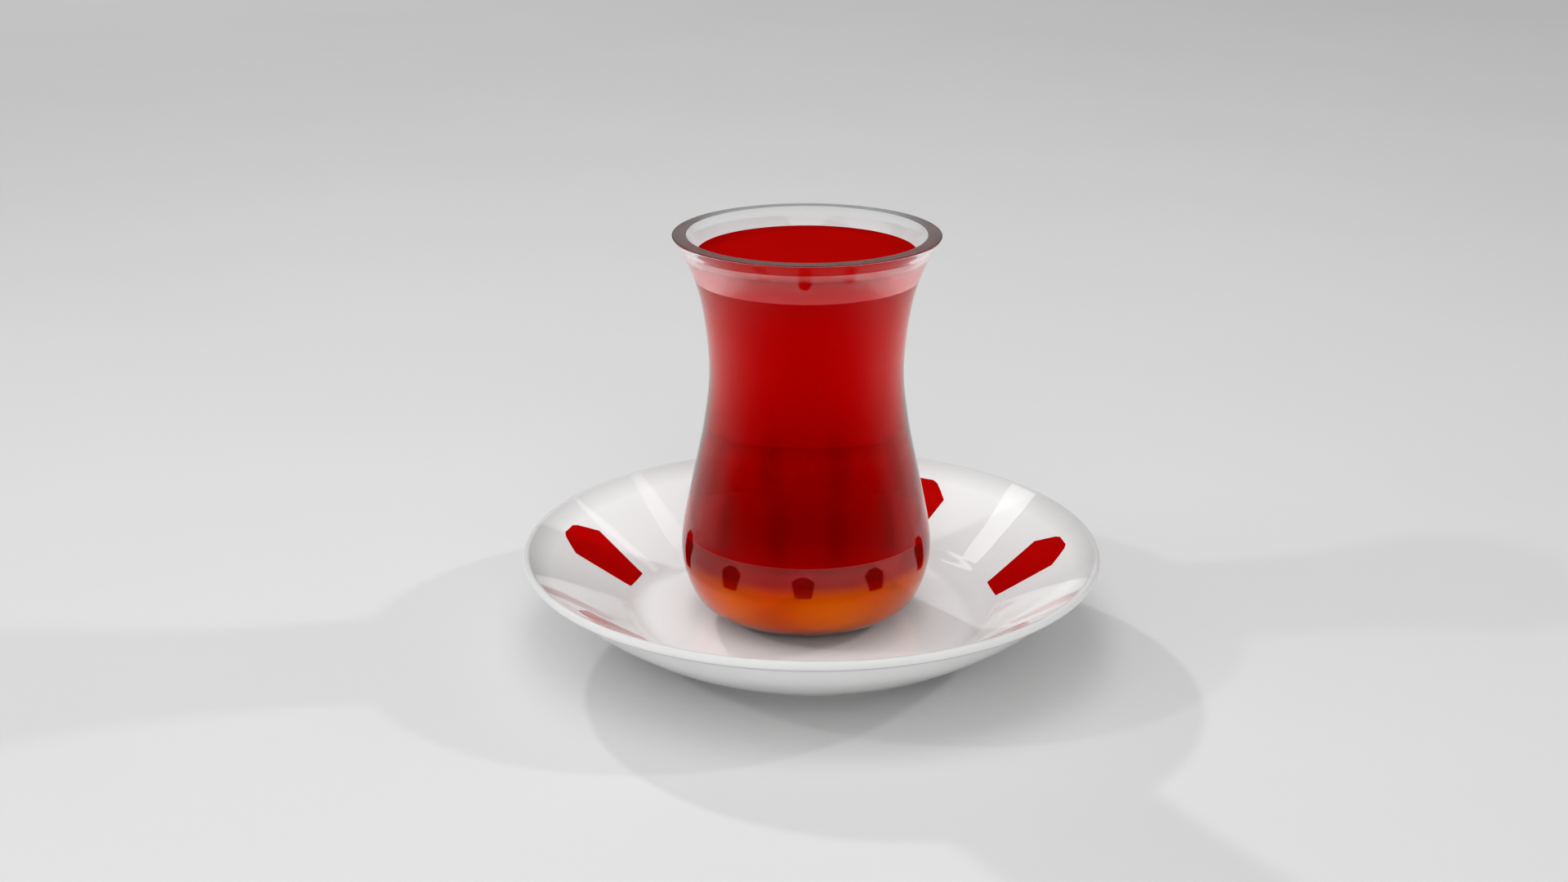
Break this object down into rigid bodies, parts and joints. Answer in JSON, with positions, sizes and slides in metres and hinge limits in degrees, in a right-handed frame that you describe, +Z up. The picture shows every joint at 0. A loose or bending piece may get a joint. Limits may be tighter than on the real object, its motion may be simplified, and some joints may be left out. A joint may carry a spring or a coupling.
{
  "type": "turkish tea glass",
  "caption": "Tulip-shaped clear tea glass, filled with red-brown tea that glows amber at the foot, standing on a glazed white saucer with red painted marks.",
  "frame": {"origin": "middle of the saucer's foot ring, on the plane it stands on", "axes": "+Z up; +Y away from the picture's camera; +X to the right in the picture"},
  "size_m": [0.1202, 0.1202, 0.0859],
  "materials": {
    "white_glaze": "clear high gloss glaze",
    "clear_glass": "clear polished glass",
    "black_tea": "clear red-brown liquid"
  },
  "bodies": {
    "root": {"saucer": "white_glaze", "glass": "clear_glass", "tea": "black_tea"}
  },
  "joints": []
}
